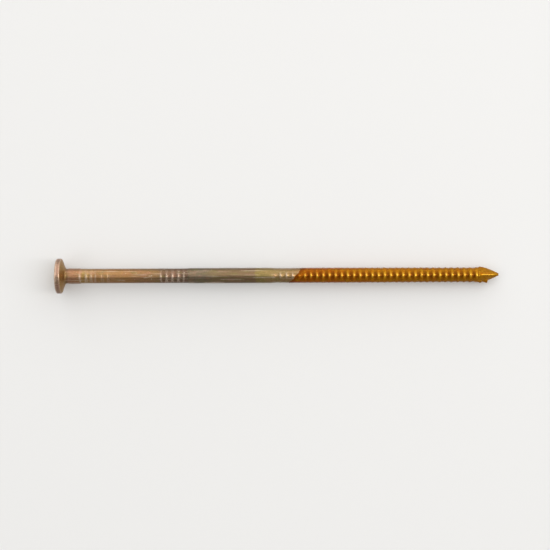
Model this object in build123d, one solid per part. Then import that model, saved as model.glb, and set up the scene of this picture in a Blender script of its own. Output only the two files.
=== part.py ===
"""A ring-shank nail for a strip nailer: a headed and pointed steel wire with a resin coat.

The nail lies along +X, from its head to its point, with +Z up and +Y to the side.
The origin is the centre of the flat face that the driver strikes. Sizes are in millimetres.
"""

from build123d import *
import math
import os

# Wire and head
nail_length = 88.9  # 3 1/2 inches, from the striking face to the steel tip
wire_diameter = 3.05  # 0.120 inch wire
head_diameter = 7.15
rim_length = 1.0  # from the striking face to the cone under the head
rim_edge_radius = 0.3
cone_rise = 23.0  # degrees by which the underside leans back towards the neck
neck_length = 1.0
neck_fillet = 0.5

# The length that the heading dies hold, squeezed a little thinner than the wire
gripped_diameter = 2.92
gripped_end = 26.4
gripped_blend = 0.5
tooth_depth = 0.06
tooth_length = 0.5
tooth_rows = ((4.7, 1.1, 4), (22.2, 1.23, 4))  # first mark, spacing, number of marks
fin_length = 4.0  # flash between the two die halves, just under the head
fin_width = 0.5
fin_height = 0.08

# Rings rolled into the half that goes into the timber
ring_pitch = 1.23
ring_count = 34
first_crest = 43.85
crest_diameter = 2.95
root_diameter = 2.74
shoulder_length = 0.14  # the steep flank, which faces the head and resists pull-out
crest_length = 0.3
crest_drop = 0.015  # the crest falls away a little towards the point

# Diamond point, pinched off by cutters
point_length = 3.7
swell_diameter = 3.2  # the cutters push the steel out beyond the wire here
swell_taper = 9.0  # degrees by which the rounded ridges close in behind the swell
ridge_angle = 23.5  # degrees between the nail's axis and a ridge of the diamond
tip_radius = 0.26  # from the axis to a corner of the blunt tip
burr_start = 0.8  # behind the swell
burr_length = 0.8
burr_width = 0.4
burr_reach = 1.6  # from the axis

# Resin dipped over the ringed half
crest_film = 0.04
root_film = 0.07  # the resin lies thicker between the rings
dip_middle = 47.9
dip_slant = 0.8  # millimetres that the edge of the coat moves along X for each across Y

wire_r = wire_diameter / 2
gripped_r = gripped_diameter / 2
head_r = head_diameter / 2
crest_r = crest_diameter / 2
root_r = root_diameter / 2
swell_r = swell_diameter / 2
point_start = nail_length - point_length
rings_start = first_crest - crest_length / 2 - shoulder_length


def turned(points):
    """A solid of revolution about the nail's axis, under an outline that runs along +X."""
    (start, _), (end, _) = points[0], points[-1]
    return revolve(make_face(Polyline((start, 0), *points, (end, 0), close=True)), Axis.X)


def head():
    """A flat disc with rounded edges and a shallow cone under it, filleted into the neck."""
    cone_length = (head_r - gripped_r) * math.tan(math.radians(cone_rise))
    neck = (rim_length + cone_length, gripped_r)
    front, back = (0, head_r), (rim_length, head_r)
    shape = turned([front, back, neck, (neck[0] + neck_length, gripped_r)])
    circles = shape.edges().filter_by(GeomType.CIRCLE)
    rims = [e for e in circles if abs(e.radius - head_r) < tooth_depth]
    shape = fillet(rims, rim_edge_radius)
    circles = shape.edges().filter_by(GeomType.CIRCLE)
    necks = [e for e in circles if abs(e.arc_center.X - neck[0]) < tooth_depth]
    return fillet(necks, neck_fillet)


def toothed_outline():
    """The gripped length, notched where each tooth of the heading dies bit."""
    points = [(rim_length, gripped_r)]
    for first, spacing, count in tooth_rows:
        for i in range(count):
            middle = first + i * spacing
            points.append((middle - tooth_length / 2, gripped_r))
            points.append((middle, gripped_r - tooth_depth))
            points.append((middle + tooth_length / 2, gripped_r))
    return points + [(gripped_end, gripped_r)]


def ringed_outline(crest_cover=0.0, root_cover=0.0):
    """Rings with a steep flank towards the head, a narrow crest and a long slope behind it."""
    points = []
    for i in range(ring_count):
        middle = first_crest + i * ring_pitch
        points.append((middle - crest_length / 2 - shoulder_length, root_r + root_cover))
        points.append((middle - crest_length / 2, crest_r + crest_cover))
        points.append((middle + crest_length / 2, crest_r + crest_cover - crest_drop))
    return points + [(point_start - crest_length, crest_r + crest_cover)]


def point_outline(cover=0.0):
    """The swell behind the point, closing in towards the tip."""
    end_r = swell_r - point_length * math.tan(math.radians(swell_taper))
    return [(point_start, swell_r + cover), (nail_length + cover, end_r + cover)]


def pointed(shape, cover=0.0):
    """Four flats cut a diamond point, with its ridges up, down and to each side."""
    lean = math.atan(math.tan(math.radians(ridge_angle)) * math.cos(math.radians(45)))
    flat_r = tip_radius * math.cos(math.radians(45)) + cover
    for side in (45, 135, 225, 315):
        y, z = math.cos(math.radians(side)), math.sin(math.radians(side))
        flat = Plane(
            origin=(nail_length, flat_r * y, flat_r * z),
            z_dir=(math.sin(lean), math.cos(lean) * y, math.cos(lean) * z),
        )
        shape = split(shape, bisect_by=flat, keep=Keep.BOTTOM)
    return shape


def burr(cover=0.0):
    """The fin left at one side of the point where the nail was parted from the wire."""
    reach = burr_reach + cover
    block = Box(burr_length + 2 * cover, reach, burr_width + 2 * cover)
    return Pos(point_start + burr_start + burr_length / 2, -reach / 2, 0) * block


def heading_fins():
    """Flash along both sides under the head, where the two halves of the dies meet."""
    reach = 2 * (gripped_r + fin_height)
    return Pos(rim_length + fin_length / 2, 0, 0) * Box(fin_length, reach, fin_width)


def steel_nail():
    """Head, shank, rings and point are all one length of cold-formed wire."""
    plain = [(gripped_end + gripped_blend, wire_r), (rings_start - shoulder_length, wire_r)]
    shank = turned(toothed_outline() + plain + ringed_outline() + point_outline())
    return pointed(shank) + head() + heading_fins() + burr()


def resin_coat(steel):
    """A skin over the rings and the point, with a slanted edge from the angle of the dip."""
    outline = ringed_outline(crest_film, root_film) + point_outline(crest_film)
    skin = pointed(turned(outline), crest_film) + burr(crest_film)
    edge = Plane(origin=(dip_middle, 0, 0), z_dir=(1, -dip_slant, 0))
    return split(skin, bisect_by=edge, keep=Keep.TOP) - steel


if __name__ == "__main__":
    os.makedirs("parts", exist_ok=True)
    nail = steel_nail()
    export_step(nail, "parts/steel_nail.step")
    export_step(resin_coat(nail), "parts/resin_coat.step")
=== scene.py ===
"""A ring-shank nail for a strip nailer, with yellow zinc plating and amber resin on its rings.

The nail lies along +X with its striking face at the origin. Sizes are in millimetres, and mm
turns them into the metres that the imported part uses. The room around the nail is in metres.
"""

import math

import bpy
import numpy as np
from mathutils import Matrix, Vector, noise


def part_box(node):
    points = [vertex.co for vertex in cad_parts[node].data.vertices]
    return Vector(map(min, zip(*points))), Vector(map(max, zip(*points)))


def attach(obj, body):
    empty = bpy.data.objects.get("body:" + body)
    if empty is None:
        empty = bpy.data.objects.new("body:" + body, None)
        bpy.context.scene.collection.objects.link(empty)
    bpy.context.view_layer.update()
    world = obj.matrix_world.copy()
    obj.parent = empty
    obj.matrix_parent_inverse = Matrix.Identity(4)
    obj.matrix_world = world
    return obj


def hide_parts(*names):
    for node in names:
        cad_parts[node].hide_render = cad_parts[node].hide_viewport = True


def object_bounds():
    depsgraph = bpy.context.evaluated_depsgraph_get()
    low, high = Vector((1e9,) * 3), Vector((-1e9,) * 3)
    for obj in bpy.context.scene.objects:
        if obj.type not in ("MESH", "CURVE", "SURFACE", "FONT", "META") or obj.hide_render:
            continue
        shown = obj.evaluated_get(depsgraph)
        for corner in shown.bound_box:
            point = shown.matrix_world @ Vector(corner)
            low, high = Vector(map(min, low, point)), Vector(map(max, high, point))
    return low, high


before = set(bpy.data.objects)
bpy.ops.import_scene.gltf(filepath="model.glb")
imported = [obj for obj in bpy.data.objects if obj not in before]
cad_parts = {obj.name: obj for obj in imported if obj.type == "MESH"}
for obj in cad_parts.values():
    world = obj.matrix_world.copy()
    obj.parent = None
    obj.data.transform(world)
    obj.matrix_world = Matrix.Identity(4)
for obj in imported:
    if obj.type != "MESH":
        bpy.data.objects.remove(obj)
cad_low, cad_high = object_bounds()
bpy.ops.object.select_all(action="DESELECT")

# ---------------------------------------------------------------------------------------------
# The nail itself is one length of drawn steel wire. Dies grip the wire and upset its end into
# the head, which leaves tooth marks and a little flash. Rollers press the rings, and cutters
# pinch off the diamond point. It was then plated with zinc and passivated yellow.

mm = 0.001
steel_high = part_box("steel_nail")[1]
tip_x, head_r = steel_high[0] / mm, steel_high[1] / mm
wire_r, gripped_r = 1.525, 1.46
crest_r, root_r = 1.475, 1.38
sides = 96


def arc(centre, radius, start, end, steps):
    """Points on an arc from one angle to another, in degrees from +X towards the rim."""
    turns = np.radians(np.linspace(start, end, steps + 1))
    return [(centre[0] + radius * math.cos(t), centre[1] + radius * math.sin(t)) for t in turns]


def stations(start, end, step, radius):
    """Evenly spaced points along a straight length."""
    count = max(1, round((end - start) / step))
    return [(start + (end - start) * i / count, radius) for i in range(count)]


# The head: a flat face, a rounded rim, and an underside that leans back to a fillet at the neck.
rim_back, underside_lean = 1.0, 23.0
face_edge_r, back_edge_r, neck_r = 0.3, 0.25, 0.5
lean_cos = math.cos(math.radians(underside_lean))
lean_sin = math.sin(math.radians(underside_lean))
back_x = rim_back - back_edge_r * (1 - lean_sin) / lean_cos
neck_x = rim_back + (neck_r - (gripped_r + neck_r - head_r) * lean_sin) / lean_cos
steel_outline = [(0.0, r) for r in np.linspace(0, head_r - face_edge_r, 9)[:-1]]
steel_outline += arc((face_edge_r, head_r - face_edge_r), face_edge_r, 180, 90, 6)
steel_outline += arc((back_x, head_r - back_edge_r), back_edge_r, 90, underside_lean, 5)
neck = arc((neck_x, gripped_r + neck_r), neck_r, 180 + underside_lean, 270, 6)
underside = np.linspace(steel_outline[-1], neck[0], 12)[1:-1]
steel_outline += [tuple(point) for point in underside] + neck
neck_end = neck[-1][0]

# The gripped length, the plain length, and the rings. A ring is a steep flank that faces the
# head, a rounded crest, and a slope down to a short flat: (place, share of its height).
near_teeth, far_teeth = (3.6, 11.2), (20.8, 26.4)  # the stretches that the dies' teeth bit
neck_step, tooth_step, plain_step = 0.25, 0.08, 0.4
plain_start = 26.9
first_crest, ring_pitch, ring_count = 43.85, 1.23, 34
ring_shape = (
    (-0.46, 0.0),
    (-0.38, 0.08),
    (-0.30, 0.28),
    (-0.22, 0.56),
    (-0.14, 0.83),
    (-0.07, 0.97),
    (0.0, 1.0),
    (0.08, 0.9),
    (0.18, 0.68),
    (0.28, 0.42),
    (0.38, 0.16),
    (0.48, 0.04),
    (0.60, 0.0),
)

# The point: the wire swells where the cutters squeeze it, and closes in towards the tip.
point_length, swell_r, swell_taper = 3.7, 1.6, 0.16
swell_x = tip_x - point_length
last_groove = swell_x - 0.45


def rings(crest, root, first=0):
    """The outline of the rings, one after another, up to the last groove before the point."""
    points = []
    for i in range(first, ring_count):
        for place, height in ring_shape:
            x = first_crest + i * ring_pitch + place
            if x < last_groove:
                points.append((x, root + (crest - root) * height))
    return points


def round_point(cover, groove):
    """The outline of the swell and the point, still round, under a coat of a given thickness."""
    points = [(last_groove, groove), (swell_x - 0.28, 1.47 + cover), (swell_x - 0.12, 1.57 + cover)]
    for x in np.linspace(swell_x, tip_x - 0.1, 44):
        points.append((x, swell_r + cover - swell_taper * (x - swell_x)))
    end_x = tip_x + cover
    return points + [(end_x - 0.04, 0.9), (end_x, 0.5), (end_x, 0.0)]


steel_outline += stations(neck_end + 0.2, near_teeth[0], neck_step, gripped_r)
steel_outline += stations(*near_teeth, tooth_step, gripped_r)
steel_outline += stations(near_teeth[1], far_teeth[0], plain_step, gripped_r)
steel_outline += stations(*far_teeth, tooth_step, gripped_r)
steel_outline += stations(plain_start, first_crest - 0.9, plain_step, wire_r)
steel_outline += [(first_crest - 0.8, wire_r)]
steel_outline += [(x, r) for x, r in rings(crest_r, root_r) if x >= first_crest]
steel_outline += round_point(cover=0.0, groove=root_r + 0.02)


def spin_outline(name, outline):
    """Draws an outline by extruding one point along it, and spins it into a round mesh."""
    x, r = outline[0]
    bpy.ops.mesh.primitive_plane_add(size=mm, location=(x * mm, 0, r * mm))
    piece = bpy.context.object
    piece.name = piece.data.name = name
    bpy.ops.object.mode_set(mode="EDIT")
    bpy.ops.mesh.merge(type="CENTER")
    for (x0, r0), (x1, r1) in zip(outline, outline[1:]):
        step = ((x1 - x0) * mm, 0, (r1 - r0) * mm)
        bpy.ops.mesh.extrude_region_move(TRANSFORM_OT_translate={"value": step})
    bpy.ops.mesh.select_all(action="SELECT")
    bpy.ops.mesh.spin(steps=sides, angle=2 * math.pi, center=(0, 0, 0), axis=(1, 0, 0))
    bpy.ops.mesh.select_all(action="SELECT")
    bpy.ops.mesh.remove_doubles(threshold=0.002 * mm)
    bpy.ops.mesh.normals_make_consistent(inside=False)
    bpy.ops.object.mode_set(mode="OBJECT")
    bpy.ops.object.transform_apply(location=True, rotation=True, scale=True)
    return piece


def smooth_step(value, start, end):
    """Rises smoothly from 0 at start to 1 at end."""
    share = np.clip((value - start) / (end - start), 0, 1)
    return share * share * (3 - 2 * share)


def between(x, rise, fall):
    """Rises from 0 to 1 over one stretch of the nail, and falls back over another."""
    return smooth_step(x, *rise) * (1 - smooth_step(x, *fall))


def narrow(away, width):
    """1 at the middle of a narrow mark, dying away over its width to either side."""
    return np.exp(-((away / width) ** 2))


def wander(places, along, around, seed):
    """Smooth noise between about -1 and 1, with lumps of the given sizes in millimetres."""
    scale = np.array([1 / along, 1 / around, 1 / around])
    return np.array([noise.noise(Vector(p * scale + seed)) for p in places])


def work_surface(piece, change):
    """Moves each point of a round mesh out or in, and marks where its finish differs, painted
    highlights and painted shade included.
    """
    flat = np.empty(len(piece.data.vertices) * 3)
    piece.data.vertices.foreach_get("co", flat)
    places = flat.reshape(-1, 3) / mm
    x, radius = places[:, 0].copy(), np.hypot(places[:, 1], places[:, 2])
    angle = np.arctan2(places[:, 2], places[:, 1])
    x, radius, marks_and_painted_light = change(places, x, radius, angle)
    moved = np.stack([x, radius * np.cos(angle), radius * np.sin(angle)], axis=1)
    piece.data.vertices.foreach_set("co", (moved * mm).ravel())
    if "marks_and_painted_light" not in piece.data.attributes:
        piece.data.attributes.new("marks_and_painted_light", "FLOAT", "POINT")
    piece.data.attributes["marks_and_painted_light"].data.foreach_set("value", marks_and_painted_light.astype(np.float32))
    piece.data.update()


# Each tooth of the heading dies bites a lens-shaped dent, deepest above and below and closing
# where the two dies meet at the sides. Its edges are paler, partly rubbed and partly a painted
# highlight, more so on the -Y side: (place, half its length, depth).
tooth_marks = [(5.45, 0.62, 0.05), (6.62, 0.4, 0.045), (7.6, 0.42, 0.04)]
tooth_marks += [(9.35, 0.13, 0.03), (10.6, 0.15, 0.035)]
tooth_marks += [(21.66, 0.57, 0.05), (22.84, 0.55, 0.06), (24.04, 0.57, 0.055), (25.2, 0.54, 0.05)]
dent_reach = 84.0  # degrees from the top or the bottom to where a dent closes
full_mark = 0.7  # half the length of a mark whose edges are rubbed right through
edge_rub = 0.16


def bite_teeth(places, x, radius, angle):
    """Presses the dents in, and finds their pale edges, partly rubbed and partly painted highlight,
    least on the +Y side.
    """
    raggedness = 0.07
    from_top = np.degrees(np.abs(np.abs(angle) - math.pi / 2))
    wear_and_painted_highlight = np.zeros_like(x)
    ragged = x + raggedness * wander(places, 0.5, 0.5, 44.3)
    for place, half, depth in tooth_marks:
        width = half * np.sqrt(np.clip(1 - (from_top / dent_reach) ** 2, 0.01, 1))
        away = np.abs(ragged - place)
        dent = np.clip(1 - (away / width) ** 2, 0, 1)
        radius = radius - depth * dent * (1 - smooth_step(from_top, 40, dent_reach))
        wear_and_painted_highlight = np.maximum(wear_and_painted_highlight, narrow(away - width, edge_rub) * (half / full_mark))
    # Painted highlight: the pale edges are made stronger on the -Y side.
    wear_and_painted_highlight = wear_and_painted_highlight * (0.25 + 0.75 * smooth_step(-places[:, 1], -0.5, 0.1))
    return radius, wear_and_painted_highlight * (1 - smooth_step(from_top, 40, 85))


def flatten_grip(x, radius, angle):
    """The dies press a narrow flat along the top and the bottom of the length they hold."""
    pressed_r = 1.43
    flat_r = pressed_r / np.maximum(np.abs(np.sin(angle)), 0.2)
    held = between(x, (2.4, 3.2), (25.8, 26.8))
    return radius + np.minimum(flat_r - radius, 0) * held


def raise_fins(x, radius, angle):
    """Flash squeezed out between the dies, along both sides under the head."""
    fin_height, fin_width = 0.075, 0.2
    along = between(x, (2.2, 2.6), (4.7, 5.2))
    return radius + fin_height * narrow(np.sin(angle) * radius, fin_width) * along


def fade_grooves(x, radius, angle, crest):
    """The ring rollers press deepest above and below, and deeper towards the point."""
    side_fill, extra_depth = 0.65, 0.65  # shares of a groove's depth
    ringed = smooth_step(x, first_crest - 0.65, first_crest - 0.5) * (x < swell_x - 0.2)
    towards_point = smooth_step(x, 55, 80)
    at_swell = smooth_step(x, swell_x - 0.95, swell_x - 0.6)
    upright = np.abs(np.sin(angle))
    filled = (side_fill - 0.5 * towards_point) * (1 - upright ** (8 - 6.5 * towards_point))
    filled = filled * (1 - at_swell) + (1 - upright**10) * at_swell
    depth = np.clip(crest - radius, 0, None)
    return radius + depth * ringed * (filled - extra_depth * towards_point * (1 - filled))


def from_ridge(angle):
    """Degrees around the nail from the nearest ridge of the point."""
    return 45 - np.abs((np.degrees(angle) % 90) - 45)


def press_flats(x, radius, angle, cover):
    """Four flats meet in rounded ridges above, below and at the sides, and bulge lengthways."""
    tip_r, ridge_slope, ridge_bulge, softness = 0.27, 0.51, 0.033, 0.035
    back = np.clip(tip_x + cover - x, 0, None)
    ridge_r = tip_r + cover + ridge_slope * back - ridge_bulge * back**2
    rounding = 11 / (ridge_r + 0.2)  # degrees, more where the ridges come together
    from_flat = np.radians(45 - np.sqrt(from_ridge(angle) ** 2 + rounding**2))
    flat_r = ridge_r * np.cos(np.radians(45 - rounding)) / np.cos(from_flat)
    overlap = np.clip((radius - flat_r) / softness, -1, 1)
    softened = np.minimum(radius, flat_r) - softness * (1 - np.abs(overlap)) ** 2 / 4
    return np.where(x > swell_x - 1.2, softened, radius)


def leave_burr(x, radius, angle, cover):
    """A hooked fin on one side of the point, where the nail was sheared from the wire."""
    sheared_depth, fin_r = 0.12, 1.62
    from_side = np.abs(np.degrees(angle) % 360 - 180)
    beside = 1 - smooth_step(from_side, 20, 50)
    radius = radius - sheared_depth * beside * smooth_step(x, tip_x - 3.5, tip_x - 3.2)
    beside = 1 - smooth_step(from_side, 8, 34)
    along = between(x, (tip_x - 3.3, tip_x - 2.35), (tip_x - 2.28, tip_x - 2.02))
    return radius + np.maximum(fin_r + cover - radius, 0) * along * beside


# Long scratches from the drawing die and from handling, on the side that faces up. The two
# at -1.38 across and the one at -0.42 from 39.4 mm are painted highlights, pale lines along the
# lower edge and below the middle: (start, end, place across the nail, how bare they are).
scratches_and_highlight_lines = [(15.2, 18.6, 0.25, 0.35), (37.6, 41.0, 0.1, 0.35), (28.0, 31.5, 0.95, 0.45)]
scratches_and_highlight_lines += [(12.3, 14.0, -0.9, 0.7), (17.6, 18.6, -0.4, 1.0), (18.4, 19.5, -0.1, 0.8)]
# Painted highlights: the two lines at -1.38 across, along the lower edge.
scratches_and_highlight_lines += [(26.6, 28.1, -1.38, 1.0), (29.6, 34.0, -1.38, 1.0), (33.0, 37.5, -0.75, 0.7)]
# Painted highlight: a pale line below the middle.
scratches_and_highlight_lines += [(39.4, 44.2, -0.42, 1.0)]
scratch_width, scratch_waver = 0.085, 0.05
scratch_end = 0.4  # the length over which a scratch starts or runs out


def draw_scratches_and_highlight_lines(places, x, radius, angle):
    """Finds how bare each point is under the scratches and the painted highlight lines, whose lines
    waver and break up.
    """
    across = radius * np.cos(angle) + scratch_waver * wander(places, 4.0, 4.0, 51.7)
    ragged = np.clip(0.8 + 0.6 * wander(places, 0.9, 0.4, 60.2), 0, 1)
    bare_zinc_and_highlight = np.zeros_like(x)
    for start, end, side, strength in scratches_and_highlight_lines:
        along = between(x, (start, start + scratch_end), (end - scratch_end, end))
        bare_zinc_and_highlight = np.maximum(bare_zinc_and_highlight, strength * along * narrow(across - side, scratch_width))
    return bare_zinc_and_highlight * ragged * (angle > 0)


def work_steel(places, x, radius, angle):
    """Forms the head, the grip, the rings and the point, and finds where bare zinc and painted
    highlights show.
    """
    uneven_head, leaning_rim, uneven_wire, uneven_rings = 0.035, 0.03, 0.006, 0.008
    front_edge, back_edge = 0.12, 0.98
    on_head = 1 - smooth_step(x, 1.8, 2.2)
    # The rim's front and back edges are paler: partly film rubbed thin, partly a painted highlight of
    # their grazing reflections.
    rim_wear_and_highlight = narrow(x - front_edge, 0.16) + 0.7 * narrow(x - back_edge, 0.1)
    rim_wear_and_highlight = rim_wear_and_highlight * smooth_step(radius, head_r - 0.35, head_r - 0.1)
    uneven = uneven_head * (1 + wander(places, 3.0, 2.2, 3.7))
    radius = radius - on_head * (radius / head_r) * uneven
    leaning = leaning_rim * (1 + wander(places, 4.0, 3.0, 8.1))
    x = x + on_head * smooth_step(radius, 2.4, 3.3) * leaning
    radius = flatten_grip(x, radius, angle)
    radius, wear_and_painted_highlight = bite_teeth(places, x, radius, angle)
    radius = raise_fins(x, radius, angle)
    on_shank = between(x, (2.6, 4.0), (tip_x - 1.5, tip_x))
    radius = radius + on_shank * uneven_wire * wander(places, 2.5, 1.2, 15.2)
    on_rings = smooth_step(x, first_crest - 0.3, first_crest)
    radius = fade_grooves(x, radius, angle, crest_r)
    radius = radius + on_rings * uneven_rings * wander(places, 0.7, 0.9, 21.4)
    # The bare crests are paler near the top and the bottom: partly rubbed, partly a painted highlight
    # spot on each ring.
    crest_wear_and_highlight = smooth_step(x, first_crest + 0.1, first_crest + 1.2)
    crest_wear_and_highlight = crest_wear_and_highlight * smooth_step(radius, root_r + 0.05, crest_r) * np.sin(angle) ** 16
    radius = press_flats(x, radius, angle, cover=0.0)
    wear_and_painted_highlight = np.maximum(np.maximum(wear_and_painted_highlight, rim_wear_and_highlight), 0.7 * crest_wear_and_highlight)
    wear_and_painted_highlight = np.maximum(wear_and_painted_highlight, draw_scratches_and_highlight_lines(places, x, radius, angle))
    return x, leave_burr(x, radius, angle, cover=0.0), wear_and_painted_highlight


nail = spin_outline("nail_of_plated_wire", steel_outline)
work_surface(nail, work_steel)
bpy.ops.object.shade_smooth_by_angle(angle=math.radians(40))


def linear(colour):
    """An sRGB hex colour as the linear values that a shader takes."""
    channels = [int(colour[i : i + 2], 16) / 255 for i in (0, 2, 4)]
    curve = [c / 12.92 if c <= 0.04045 else ((c + 0.055) / 1.055) ** 2.4 for c in channels]
    return (*curve, 1.0)


def add(material, kind, inputs=(), stops=(), **settings):
    """Adds a node to a material, with its settings and the stops of its colour ramp.

    Its inputs are a list in order, or a dict by name or number. Each one is a value, a socket,
    or another node, whose first output in use is linked.
    """
    tree = material.node_tree
    node = tree.nodes.new(kind)
    for name, value in settings.items():
        setattr(node, name, value)
    for i, (place, colour) in enumerate(stops):
        stop = node.color_ramp.elements[i] if i < 2 else node.color_ramp.elements.new(place)
        stop.position, stop.color = place, linear(colour)
    named = inputs.items() if isinstance(inputs, dict) else enumerate(inputs)
    for socket, value in named:
        if isinstance(value, bpy.types.Node):
            value = next(output for output in value.outputs if output.enabled)
        if isinstance(value, bpy.types.NodeSocket):
            tree.links.new(value, node.inputs[socket])
        else:
            node.inputs[socket].default_value = value
    return node


def new_material(name):
    """An empty material, and the coordinates that its patterns follow."""
    material = bpy.data.materials.new(name)
    material.use_nodes = True
    material.node_tree.nodes.clear()
    return material, add(material, "ShaderNodeTexCoord").outputs["Object"]


def finish(material, inputs, piece):
    """Closes a material with its surface shader, and puts it on a piece."""
    surface = add(material, "ShaderNodeBsdfPrincipled", inputs)
    add(material, "ShaderNodeOutputMaterial", {"Surface": surface})
    piece.data.materials.append(material)


def patterns_on(material, places, **patterns):
    """Patterns from 0 to 1 by name: (size of lumps in millimetres along X, Y and Z, detail, shift)."""
    made = {}
    for name, (sizes, detail, shift) in patterns.items():
        scale = [1 / (size * mm) for size in sizes]
        spread = {"Vector": places, "Location": shift, "Scale": scale}
        lumps = {"Vector": add(material, "ShaderNodeMapping", spread), "Scale": 1.0, "Detail": detail}
        made[name] = add(material, "ShaderNodeTexNoise", lumps)
    return made


def tint(material, under, colour, pattern, start, end, strength):
    """Lays a colour over another, more strongly as a pattern goes from start to end."""
    share = add(material, "ShaderNodeMapRange", [pattern, start, end, 0.0, strength])
    return add(material, "ShaderNodeMix", {0: share, 6: under, 7: linear(colour)}, data_type="RGBA")


# Yellow zinc: a satin metal under a chromate film so thin that its colour drifts from pink and
# gold to olive along the wire as the film's thickness changes. Drawing lines, grain and chatter
# are finer on real wire, and are drawn as coarse as they need to be to show.
zinc, places = new_material("yellow_chromated_zinc_on_drawn_steel")
axes = add(zinc, "ShaderNodeSeparateXYZ", [places]).outputs
plating = patterns_on(
    zinc,
    places,
    drift=((3.5, 1.4, 1.4), 4.0, (0, 0, 0)),
    patches=((1.6, 0.7, 0.7), 4.0, (0.7, 0.2, 0.4)),
    mottle=((0.3, 0.25, 0.25), 3.0, (0.1, 0.9, 0.3)),
    lines=((7.0, 0.11, 0.11), 2.0, (0, 0, 0)),
    grain=((0.22, 0.22, 0.22), 3.0, (0, 0, 0)),
    chatter=((0.1, 0.8, 0.8), 2.0, (0, 0, 0)),
    specks=((0.5, 0.3, 0.3), 1.0, (0, 0, 0)),
)
lines, grain, patches = plating["lines"], plating["grain"], plating["patches"]

# The film's colour at places along the nail, whose borders drift by up to 0.8 mm. On the head some
# stops also hold painted light: the pale rim face and back edge are painted highlights, the dark band
# at 0.64 mm is a painted reflection of the dark space overhead, and the dark stop at 2.1 mm is painted
# shade at the neck fillet under the head.
film_end = 50.0
film_and_painted_light_colours = (
    # Painted light on the rim: pale stops for painted highlights, and a dark stop at 0.64 mm for a
    # painted reflection of the dark space overhead.
    (0.0, "cba468"),
    (0.1, "c49c7e"),
    (0.3, "b58c78"),
    (0.5, "ae8874"),
    (0.64, "6c4e3e"),
    (0.8, "b08670"),
    (0.94, "a87c6a"),
    (1.1, "a87e3c"),
    (1.8, "a27a42"),
    # Painted shade: a dark stop at the neck fillet, under the head.
    (2.1, "80603e"),
    (2.5, "a17456"),
    (4.9, "a67955"),
    (5.3, "a5824b"),
    (8.0, "a1784c"),
    (11.0, "a27a50"),
    (14.5, "a0764c"),
    (17.0, "96704c"),
    (20.5, "8a6b48"),
    (21.2, "755a45"),
    (26.2, "6b5547"),
    (26.5, "6e634e"),
    (30.0, "6f6351"),
    (31.5, "79664c"),
    (40.0, "7a6349"),
    (40.3, "8a7746"),
    (44.0, "8e774c"),
    (46.5, "94754e"),
    (film_end, "947148"),
)
reach = add(zinc, "ShaderNodeMapRange", [axes["X"], 1.0 * mm, 5.0 * mm, 0.2 * mm, 1.6 * mm])
pushed = add(zinc, "ShaderNodeMath", [plating["drift"], reach, axes["X"]], operation="MULTIPLY_ADD")
pushed = add(zinc, "ShaderNodeMath", [reach, -0.5, pushed], operation="MULTIPLY_ADD")
film_place = add(zinc, "ShaderNodeMapRange", [pushed, 0.0, film_end * mm, 0.0, 1.0])
stops = [(place / film_end, colour) for place, colour in film_and_painted_light_colours]
plating_with_painted_light = add(zinc, "ShaderNodeValToRGB", [film_place], stops)

# Patches where the film is thicker look olive, and where it is thinner look pink.
plating_with_painted_light = tint(zinc, plating_with_painted_light, "7a7244", patches, 0.52, 0.7, 0.5)
plating_with_painted_light = tint(zinc, plating_with_painted_light, "a67862", patches, 0.46, 0.3, 0.45)
plating_with_painted_light = tint(zinc, plating_with_painted_light, "5c4a34", plating["mottle"], 0.35, 0.7, 0.35)
plating_with_painted_light = tint(zinc, plating_with_painted_light, "54442f", lines, 0.42, 0.25, 0.5)

# The palest lines and specks, the scratches, the edges of the tooth marks and of the rim, and
# the rings' crests are rubbed until bare zinc shows. Part of this pale colour is painted
# highlight: on the rim's edges, the tooth marks' edges, the crests and some lines on the -Y side.
scratched = add(zinc, "ShaderNodeMapRange", [lines, 0.62, 0.74, 0.0, 0.6])
specks = add(zinc, "ShaderNodeMapRange", [plating["specks"], 0.72, 0.8, 0.0, 0.7])
scratched = add(zinc, "ShaderNodeMath", [scratched, specks], operation="MAXIMUM")
wear_and_painted_highlight = add(zinc, "ShaderNodeAttribute", attribute_name="marks_and_painted_light").outputs["Fac"]
patchy = add(zinc, "ShaderNodeMapRange", [grain, 0.3, 0.65, 0.25, 0.75])
wear_and_painted_highlight = add(zinc, "ShaderNodeMath", [wear_and_painted_highlight, patchy], operation="MULTIPLY")
bare_zinc_and_highlight = add(zinc, "ShaderNodeMath", [wear_and_painted_highlight, scratched], operation="MAXIMUM")
plating_with_painted_light = add(zinc, "ShaderNodeMix", {0: bare_zinc_and_highlight, 6: plating_with_painted_light, 7: linear("e2cdb8")}, data_type="RGBA")

# The underside of the head is duller than the wire, and its rim is shinier.
rough = add(zinc, "ShaderNodeMapRange", [lines, 0.3, 0.7, 0.24, 0.36])
duller = add(zinc, "ShaderNodeMapRange", [axes["X"], 3.2 * mm, 2.0 * mm, 0.0, 0.16])
shinier = add(zinc, "ShaderNodeMapRange", [axes["X"], 1.2 * mm, 1.0 * mm, 0.0, -0.16])
on_head = add(zinc, "ShaderNodeMath", [duller, shinier], operation="ADD")
rough = add(zinc, "ShaderNodeMath", [rough, on_head], operation="ADD")
heights = add(zinc, "ShaderNodeMath", [grain, 0.6, lines], operation="MULTIPLY_ADD")
heights = add(zinc, "ShaderNodeMath", [plating["chatter"], 0.5, heights], operation="MULTIPLY_ADD")
bump = add(zinc, "ShaderNodeBump", {"Strength": 1.0, "Distance": 0.012 * mm, "Height": heights})
finish(zinc, {"Base Color": plating_with_painted_light, "Roughness": rough, "Normal": bump, "Metallic": 1.0}, nail)

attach(nail, "root")
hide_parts("steel_nail")

# ---------------------------------------------------------------------------------------------
# The resin is a hot-melt adhesive that the nail was dipped in, point first and at a slant. It
# lies thin on the crests and thick between them, and grips the timber when driving warms it.

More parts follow.
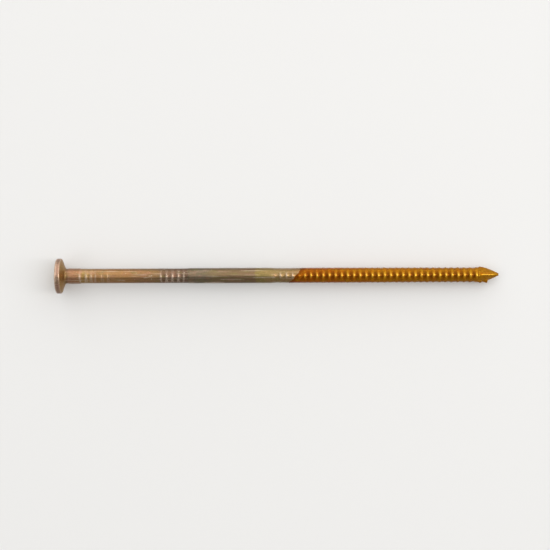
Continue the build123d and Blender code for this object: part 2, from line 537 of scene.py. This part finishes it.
dip_middle, dip_slant, dip_lean = 47.9, 0.8, 0.3
film_crest, film_root = 0.04, 0.06
coat_crest_r, coat_root_r = crest_r + film_crest, root_r + film_root
wall = 0.03
resin_outline = rings(coat_crest_r, coat_root_r, first=1)
resin_outline += round_point(cover=film_crest, groove=coat_root_r)


def work_resin(places, x, radius, angle):
    """Lays the resin over the rings and the point, and finds where it's thick and thin, and where
    shade and highlights are painted.
    """
    waves, ripples = 0.010, 0.005
    on_rings = 1 - smooth_step(x, swell_x - 0.5, swell_x - 0.2)
    # Darker in the ring roots near the top and bottom: partly resin pooled thick, partly painted shade
    # in the pits.
    pooled_and_painted_shade = on_rings * (1 - smooth_step(radius, coat_root_r, coat_crest_r - 0.02))
    # Paler in a narrow spot on each crest at the top and bottom: partly thin resin, partly a painted
    # highlight.
    thin = on_rings * smooth_step(radius, coat_crest_r - 0.03, coat_crest_r - 0.005)
    # Painted highlight along the point's four ridges, in pale gold.
    along = between(x, (swell_x + 0.1, swell_x + 0.7), (tip_x - 0.9, tip_x - 0.5))
    ridge_highlight = narrow(radius * np.radians(from_ridge(angle)), 0.09) * along
    marks_and_painted_light = pooled_and_painted_shade * np.sin(angle) ** 4 - thin * np.sin(angle) ** 30 - ridge_highlight
    radius = fade_grooves(x, radius, angle, coat_crest_r)
    radius = radius + waves * wander(places, 0.9, 0.7, 33.1)
    radius = radius + ripples * wander(places, 0.3, 0.3, 5.5)
    radius = press_flats(x, radius, angle, film_crest)
    return x, leave_burr(x, radius, angle, film_crest), marks_and_painted_light


def end_resin(places, x, radius, angle):
    """The edge of the coat wanders, thickens a little, and thins out onto the plating."""
    long_wave, short_wave, thinned, thickened = 0.26, 0.12, 0.035, 0.012
    marks_and_painted_light = np.empty(len(x), np.float32)
    resin.data.attributes["marks_and_painted_light"].data.foreach_get("value", marks_and_painted_light)
    edge = dip_middle + radius * (dip_slant * np.cos(angle) + dip_lean * np.sin(angle))
    near = 1 - smooth_step(x - edge, 0.2, 1.4)
    thin = 1 - smooth_step(x - edge, 0.0, 0.3)
    wavy = long_wave * wander(places, 9.0, 0.9, 12.6)
    wavy = wavy + short_wave * wander(places, 9.0, 0.35, 2.9)
    radius = radius - thinned * thin + thickened * near
    return x + near * wavy, radius, np.where(near > 0, 0.6 * near, 0.9 * marks_and_painted_light)


resin = spin_outline("resin_skin", resin_outline)
bpy.ops.object.mode_set(mode="EDIT")
bpy.ops.mesh.select_all(action="SELECT")
dip_plane = {"plane_co": (dip_middle * mm, 0, 0), "plane_no": (1, -dip_slant, -dip_lean)}
bpy.ops.mesh.bisect(**dip_plane, clear_inner=True)
bpy.ops.object.mode_set(mode="OBJECT")
work_surface(resin, work_resin)
work_surface(resin, end_resin)
skin = resin.modifiers.new("skin", "SOLIDIFY")
skin.thickness = wall * mm
skin.offset = -1
bpy.ops.object.modifier_apply(modifier="skin")
bpy.ops.object.shade_smooth_by_angle(angle=math.radians(40))

# Clear amber resin over zinc: about two thirds of the light comes back from the metal under it,
# tinted by the resin. It's deep orange where it pooled near its edge and golden at the point.
# Between the rings it's darker, partly pooled resin and partly painted shade. On the crests it's
# paler, partly thin resin and partly painted highlight, and the point's ridges carry a painted
# highlight. Its grit is drawn coarser than it is.
amber, places = new_material("amber_resin_over_zinc")
axes = add(amber, "ShaderNodeSeparateXYZ", [places]).outputs
coat = patterns_on(
    amber,
    places,
    flow=((2.4, 1.0, 1.0), 3.0, (0, 0, 0)),
    streaks=((0.9, 0.7, 0.7), 3.0, (0.4, 0.1, 0.8)),
    grit=((0.28, 0.22, 0.22), 3.0, (0.3, 0.6, 0.2)),
    ripple=((0.5, 0.5, 0.5), 2.0, (0, 0, 0)),
)
colour_start, colour_end = 50.0 * mm, (tip_x + 4.0) * mm
colour_drift = 8.0 * mm
depth_colours = (
    (0.0, "8b4303"),
    (0.2, "944e03"),
    (0.45, "9e6204"),
    (0.8, "986004"),
    (1.0, "a87008"),
)
pushed = [coat["flow"], colour_drift, axes["X"]]
pushed = add(amber, "ShaderNodeMath", pushed, operation="MULTIPLY_ADD")
depth_place = add(amber, "ShaderNodeMapRange", [pushed, colour_start, colour_end, 0.0, 1.0])
depth = add(amber, "ShaderNodeValToRGB", [depth_place], depth_colours)
depth = tint(amber, depth, "926a06", coat["streaks"], 0.52, 0.68, 0.6)
depth = tint(amber, depth, "904803", coat["streaks"], 0.46, 0.32, 0.6)
depth = tint(amber, depth, "6c3a02", coat["grit"], 0.5, 0.72, 0.6)
depth = tint(amber, depth, "b98420", coat["grit"], 0.48, 0.28, 0.45)
marks_and_painted_light = add(amber, "ShaderNodeAttribute", attribute_name="marks_and_painted_light").outputs["Fac"]
# Dark amber where the resin pooled, partly painted shade in the ring pits.
depth = tint(amber, depth, "5c2c00", marks_and_painted_light, 0.0, 1.0, 1.0)
# Painted highlight: pale gold on the crest spots and the point's ridges.
depth = tint(amber, depth, "ecbc44", marks_and_painted_light, 0.0, -1.0, 0.7)
gloss = add(amber, "ShaderNodeMapRange", [coat["flow"], 0.3, 0.7, 0.18, 0.3])
ripples = {"Strength": 1.0, "Distance": 0.02 * mm, "Height": coat["ripple"]}
amber_finish = {
    "Base Color": depth,
    "Roughness": gloss,
    "Normal": add(amber, "ShaderNodeBump", ripples),
    "Metallic": 0.65,
    "Specular IOR Level": 0.05,
    "Coat Weight": 0.04,
    "Coat Roughness": 0.12,
}
finish(amber, amber_finish, resin)

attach(resin, "root")
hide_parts("resin_coat")

# ---------------------------------------------------------------------------------------------
# The bench is a plain matt white board. The nail lies on it by the rim of its head and by the
# swell of its point, so the board leans a little against the nail's own axis.

rest_front = Vector((rim_back * mm, 0, -head_r * mm))
rest_back = Vector((swell_x * mm, 0, -(swell_r + film_crest) * mm))
bench_lean = -math.atan2(rest_back.z - rest_front.z, rest_back.x - rest_front.x)
bench_size, bench_parts = 2.3, 20
aside_x, aside_y = 0.35, -0.45  # the board reaches further beyond the point and to the -Y side
aside = Vector((aside_x, aside_y, -aside_x * math.tan(bench_lean)))
bpy.ops.mesh.primitive_grid_add(
    x_subdivisions=bench_parts,
    y_subdivisions=bench_parts,
    size=bench_size,
    location=(rest_front + rest_back) / 2 + aside,
    rotation=(0, bench_lean, 0),
)
bench = bpy.context.object
bench.name = "bench"
board, _ = new_material("matt_white_board")
finish(board, {"Base Color": linear("d6d5d3"), "Roughness": 0.85}, bench)
bench.visible_glossy = False

# ---------------------------------------------------------------------------------------------
# Studio light: a large soft box leans over the nail's +Y side, from the bench to almost
# overhead, and a strip lamp over the point's end puts a small highlight on every ring. A small
# lamp beyond the head lights its rim. Their places are from the nail's middle, in metres.

nail_middle = (cad_low + cad_high) / 2


def soft_light(name, place, size, radiance):
    """A rectangular lamp that faces the middle of the nail and isn't seen by the camera."""
    lamp = bpy.data.lights.new(name, "AREA")
    lamp.shape, lamp.size, lamp.size_y = "RECTANGLE", size[0], size[1]
    lamp.energy = radiance * math.pi * size[0] * size[1]
    holder = bpy.data.objects.new(name, lamp)
    bpy.context.collection.objects.link(holder)
    holder.location = nail_middle + Vector(place)
    holder.rotation_euler = Vector(place).to_track_quat("Z", "Y").to_euler()
    holder.visible_camera = False
    return holder


soft_box = soft_light("soft_box", place=(0.28, 0.39, 0.37), size=(1.25, 1.04), radiance=0.88)
soft_box.rotation_euler = (math.radians(-45), 0, math.radians(12))
strip_x, strip_z = 0.36, 0.48
strip_lamp = soft_light("strip_lamp", place=(strip_x, -0.01, strip_z), size=(0.65, 0.09), radiance=6.5)
strip_lamp.rotation_euler = (0, math.atan2(strip_x, strip_z), 0)
soft_light("edge_lamp", place=(-0.4, 0.0, 0.38), size=(0.5, 0.16), radiance=2.4)

# The room is bright on the soft box's side, dimmer on the near side and dimmest behind the head.
# Near the bench's level and below it stands in for the bench in the nail's reflections.
room = bpy.data.worlds.new("studio_room")
bpy.context.scene.world = room
room.use_nodes = True
toward = add(room, "ShaderNodeTexCoord").outputs["Generated"]
toward = add(room, "ShaderNodeSeparateXYZ", [toward]).outputs
side_light = add(room, "ShaderNodeMapRange", [toward["Y"], 0.0, 0.6, 0.58, 0.9])
end_light = add(room, "ShaderNodeMapRange", [toward["X"], -0.8, 0.2, -0.22, 0.0])
above = add(room, "ShaderNodeMath", [side_light, end_light], operation="ADD")
below = add(room, "ShaderNodeMapRange", [toward["Y"], -0.5, 0.3, 0.5, 0.9])
height = add(room, "ShaderNodeMapRange", [toward["Z"], 0.1, 0.4, 0.0, 1.0])
level = add(room, "ShaderNodeMix", {0: height, 2: below, 3: above})
shade = add(room, "ShaderNodeCombineXYZ", [level, level, level]).outputs[0]
room.node_tree.links.new(shade, room.node_tree.nodes["Background"].inputs["Color"])

# ---------------------------------------------------------------------------------------------
# The camera looks straight down on the nail, turned by a fraction of a degree. Its lens is
# worked out from the width that it takes in at the nail's axis.

view_width, camera_height = 110.75 * mm, 259 * mm
lens = bpy.data.cameras.new("camera")
lens.sensor_width = 36.0
lens.lens = lens.sensor_width * camera_height / view_width
lens.clip_start, lens.clip_end = 0.01, 10.0
camera = bpy.data.objects.new("camera", lens)
bpy.context.collection.objects.link(camera)
camera.location = (44.0 * mm, 0.08 * mm, camera_height)
camera.rotation_euler = (0, 0, math.radians(-0.2))
bpy.context.scene.camera = camera
bpy.context.scene.view_settings.view_transform = "Standard"
